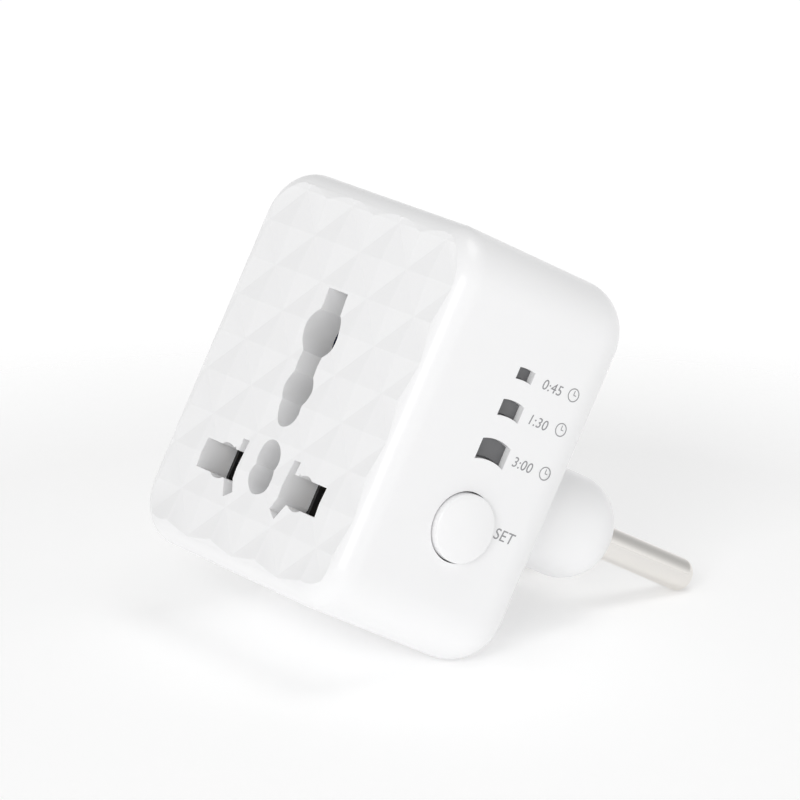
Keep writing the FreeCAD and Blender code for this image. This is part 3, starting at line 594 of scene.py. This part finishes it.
def side_text(name, words, y, z, size):
    """Thin slanted letters on the right-hand side, read from the right."""
    bpy.ops.object.select_all(action="DESELECT")
    bpy.ops.object.text_add(location=(CASE_HALF + LETTER_LIFT, y * MM, z * MM),
                            rotation=(math.radians(90), 0, math.radians(90)))
    label = bpy.context.object
    label.name = name
    label.data.body = words
    label.data.size = size * MM
    label.data.shear = LETTER_SLANT
    label.data.align_x = "CENTER"
    label.data.align_y = "CENTER"
    label.data.space_character = LETTER_SPACING
    label.data.extrude = INK_THICK
    only(label)
    bpy.ops.object.convert(target="MESH")
    settle(label)
    print_on_side(label)


def clock_mark(name, y, z):
    """A small clock: a ring with two hands."""
    x, y, z = CASE_HALF + CLOCK_LIFT, y * MM, z * MM
    bpy.ops.object.select_all(action="DESELECT")
    bpy.ops.mesh.primitive_torus_add(
        location=(x, y, z), rotation=(0, math.radians(90), 0), major_radius=CLOCK_RADIUS,
        minor_radius=CLOCK_LINE, major_segments=40, minor_segments=6)
    ring = bpy.context.object
    ring.name = name
    ring.scale = (1, 1, CLOCK_FLATNESS)
    settle(ring)
    upright = block("clock_hand", (x - INK_THICK, y - HAND_HALF_WIDTH, z),
                    (x + INK_THICK, y + HAND_HALF_WIDTH, z + HAND_UP))
    across = block("clock_hand", (x - INK_THICK, y, z - HAND_HALF_WIDTH),
                   (x + INK_THICK, y + HAND_ACROSS, z + HAND_HALF_WIDTH))
    only(ring)
    upright.select_set(True)
    across.select_set(True)
    bpy.ops.object.join()
    print_on_side(ring)


# Floor, light and camera


def make_floor():
    """A pale floor under the case's rear edge and the pin tips, fading into the background."""
    bpy.ops.object.select_all(action="DESELECT")
    bpy.ops.mesh.primitive_circle_add(vertices=96, radius=FLOOR_RADIUS, fill_type="NGON")
    floor = bpy.context.object
    floor.name = "floor"
    floor.rotation_mode = "QUATERNION"
    floor.rotation_quaternion = UP.to_track_quat("Z", "Y")
    floor.location = UP * FLOOR_DROP + FLOOR_SHIFT
    paint = bpy.data.materials.new("pale_floor")
    paint.use_nodes = True
    nodes, links = paint.node_tree.nodes, paint.node_tree.links
    shader = nodes["Principled BSDF"]
    shader.inputs["Base Color"].default_value = (0.94, 0.94, 0.94, 1)
    shader.inputs["Roughness"].default_value = 0.8
    shader.inputs["Emission Color"].default_value = (1, 1, 1, 1)
    shader.inputs["Emission Strength"].default_value = FLOOR_GLOW
    place = nodes.new("ShaderNodeTexCoord")
    reach = nodes.new("ShaderNodeVectorMath")
    reach.operation = "LENGTH"
    fade = nodes.new("ShaderNodeMapRange")
    fade.inputs["From Min"].default_value, fade.inputs["From Max"].default_value = FLOOR_FADE
    clear = nodes.new("ShaderNodeBsdfTransparent")
    mix = nodes.new("ShaderNodeMixShader")
    links.new(place.outputs["Object"], reach.inputs[0])
    links.new(reach.outputs["Value"], fade.inputs["Value"])
    links.new(fade.outputs["Result"], mix.inputs["Fac"])
    links.new(shader.outputs["BSDF"], mix.inputs[1])
    links.new(clear.outputs["BSDF"], mix.inputs[2])
    links.new(mix.outputs["Shader"], nodes["Material Output"].inputs["Surface"])
    floor.data.materials.append(paint)


def make_world():
    """White near and below the horizon of the floor, greyer overhead."""
    world = bpy.data.worlds.new("studio")
    world.use_nodes = True
    bpy.context.scene.world = world
    nodes, links = world.node_tree.nodes, world.node_tree.links
    place = nodes.new("ShaderNodeTexCoord")
    height = nodes.new("ShaderNodeVectorMath")
    height.operation = "DOT_PRODUCT"
    height.inputs[1].default_value = UP
    ramp = nodes.new("ShaderNodeMapRange")
    ramp.interpolation_type = "SMOOTHSTEP"
    ramp.inputs["From Min"].default_value, ramp.inputs["From Max"].default_value = SKY_HEIGHTS
    ramp.inputs["To Min"].default_value, ramp.inputs["To Max"].default_value = SKY_STRENGTHS
    links.new(place.outputs["Generated"], height.inputs[0])
    links.new(height.outputs["Value"], ramp.inputs["Value"])
    links.new(ramp.outputs["Result"], nodes["Background"].inputs["Strength"])
    nodes["Background"].inputs["Color"].default_value = (1, 1, 1, 1)


def soft_light(name, direction, distance, size, power):
    """A square area light that looks at the object."""
    at = LIGHT_TARGET + Vector(direction).normalized() * distance
    bpy.ops.object.select_all(action="DESELECT")
    bpy.ops.object.light_add(type="AREA", location=at)
    light = bpy.context.object
    light.name = name
    light.data.shape = "SQUARE"
    light.data.size = size
    light.data.energy = power
    light.rotation_euler = (-Vector(direction)).to_track_quat("-Z", "Y").to_euler()


def make_camera():
    """A long lens from the right of the face, rolled as the tilted case is."""
    bpy.ops.object.select_all(action="DESELECT")
    bpy.ops.object.camera_add()
    camera = bpy.context.object
    back = CAMERA_BACK.normalized()
    up = back.cross(CAMERA_RIGHT).normalized()
    turn = Matrix((up.cross(back), up, back)).transposed()
    camera.matrix_world = Matrix.Translation(CAMERA_PLACE) @ turn.to_4x4()
    camera.data.lens = CAMERA_LENS
    camera.data.sensor_width = CAMERA_SENSOR
    camera.data.clip_start = 0.05
    camera.data.clip_end = 20
    bpy.context.scene.camera = camera


make_cover()
make_housing()
make_pin("line_pin_skin", -1)
make_pin("neutral_pin_skin", 1)
make_button()
for label in LABELS:
    side_text(*label)
for clock in CLOCKS:
    clock_mark(*clock)

make_floor()
make_world()
for light in LIGHTS:
    soft_light(*light)
make_camera()
bpy.context.scene.view_settings.view_transform = "Standard"
